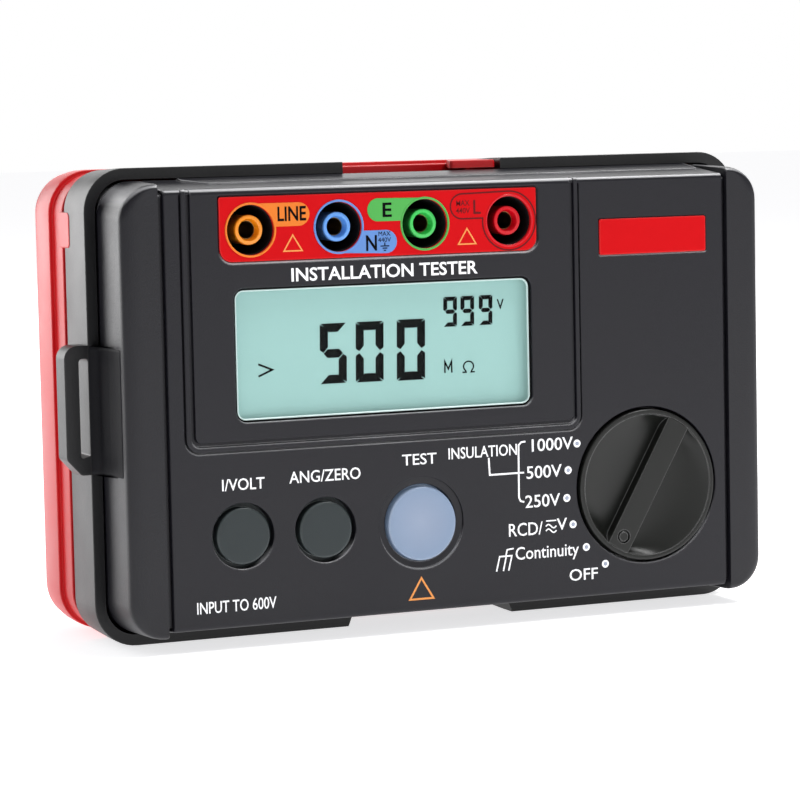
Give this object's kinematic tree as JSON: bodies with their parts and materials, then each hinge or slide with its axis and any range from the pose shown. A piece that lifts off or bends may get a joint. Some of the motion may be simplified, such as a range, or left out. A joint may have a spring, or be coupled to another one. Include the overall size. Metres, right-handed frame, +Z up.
{
  "type": "insulation resistance tester",
  "caption": "Hand-held insulation resistance tester with LCD, shrouded sockets, push buttons, rotary selector, end bumpers with strap loops and a clip-on storage cover.",
  "frame": {"origin": "middle of the overall footprint, on the surface the tester stands on", "axes": "+X to the right of someone facing the controls, +Y towards the back, +Z up; the control face looks along -Y"},
  "size_m": [0.1806, 0.062, 0.11],
  "materials": {
    "case_plastic": "satin charcoal moulding with fine spark texture",
    "grip_plastic": "satin charcoal, slightly darker than the case",
    "guard_rubber": "near black hard bumper, satin",
    "cover_plastic": "saturated red moulding, semi-gloss",
    "seal_rubber": "black foam rubber",
    "steel_screws": "zinc plated",
    "red_plate": "printed red label plate, satin",
    "clear_lens": "clear acrylic",
    "lcd": "pale teal liquid crystal display",
    "white_plastic": "white moulding",
    "zebra_rubber": "pink silicone contact strip",
    "circuit_board": "green solder mask",
    "black_plastic": "black engineering plastic",
    "amber_plastic": "amber insert",
    "blue_plastic": "blue insert",
    "green_plastic": "green insert",
    "red_plastic": "red insert",
    "contact_brass": "plated contact metal",
    "button_plastic": "dark green-grey satin cap",
    "lit_button": "translucent pale blue cap",
    "spring_steel": "bright spring steel",
    "led": "clear lamp body",
    "knob_plastic": "satin near black moulding",
    "winding": "taped winding on a ferrite core",
    "relay_case": "blue relay case",
    "capacitor_sleeve": "dark sleeve",
    "resistor_body": "lacquered ceramic",
    "fuse_glass": "glass tube fuse",
    "cell_jacket": "printed film jacket"
  },
  "bodies": {
    "case": {"front_case": "case_plastic", "left_grip": "grip_plastic", "right_grip": "grip_plastic", "left_guard": "guard_rubber", "right_guard": "guard_rubber", "rear_case": "case_plastic", "case_seal": "seal_rubber", "case_screws": "steel_screws", "display_panel": "case_plastic", "jack_strip": "red_plate", "badge_plate": "red_plate", "window_lens": "clear_lens", "lcd_glass": "lcd", "lcd_frame": "white_plastic", "backlight": "white_plastic", "zebra_strips": "zebra_rubber", "display_board": "circuit_board", "display_board_screws": "steel_screws", "board_connector": "black_plastic", "jack_block": "black_plastic", "jack_line": "amber_plastic", "jack_neutral": "blue_plastic", "jack_earth": "green_plastic", "jack_live": "red_plastic", "jack_contacts": "contact_brass", "spring_volt": "spring_steel", "spring_zero": "spring_steel", "spring_test": "spring_steel", "tact_switches": "black_plastic", "test_leds": "led", "shaft_bush": "contact_brass", "switch_housing": "white_plastic", "switch_wafer": "circuit_board", "main_board": "circuit_board", "main_board_screws": "steel_screws", "transformer": "winding", "relays": "relay_case", "capacitors": "capacitor_sleeve", "resistors": "resistor_body", "chips": "black_plastic", "fuses": "fuse_glass", "fuse_clips": "contact_brass", "buzzer": "black_plastic", "battery_tray": "black_plastic", "batteries": "cell_jacket", "battery_springs": "spring_steel", "battery_plates": "spring_steel", "battery_terminals": "contact_brass", "battery_door": "case_plastic", "door_screws": "steel_screws"},
    "knob": {"knob": "knob_plastic", "knob_shaft": "spring_steel", "switch_rotor": "white_plastic", "rotor_contacts": "contact_brass", "detent_balls": "spring_steel"},
    "button_volt": {"button_volt": "button_plastic"},
    "button_zero": {"button_zero": "button_plastic"},
    "button_test": {"button_test": "lit_button"},
    "cover": {"storage_cover": "cover_plastic"}
  },
  "joints": [
    {"name": "knob_turn", "type": "hinge", "parent": "case", "child": "knob", "pos_m": [0.04995, -0.026, 0.03085], "axis": [0, 1, 0], "range_deg": [0, 88]},
    {"name": "volt_press", "type": "slide", "parent": "case", "child": "button_volt", "axis": [0, 1, 0], "range_m": [0, 0.0012], "stiffness_N_per_m": 400, "springref_m": -0.001, "deforming": ["spring_volt"]},
    {"name": "zero_press", "type": "slide", "parent": "case", "child": "button_zero", "axis": [0, 1, 0], "range_m": [0, 0.0012], "stiffness_N_per_m": 400, "springref_m": -0.001, "deforming": ["spring_zero"]},
    {"name": "test_press", "type": "slide", "parent": "case", "child": "button_test", "axis": [0, 1, 0], "range_m": [0, 0.0018], "stiffness_N_per_m": 400, "springref_m": -0.001, "deforming": ["spring_test"]},
    {"name": "cover_pull", "type": "slide", "parent": "case", "child": "cover", "axis": [0, 1, 0], "range_m": [0, 0.04]}
  ]
}
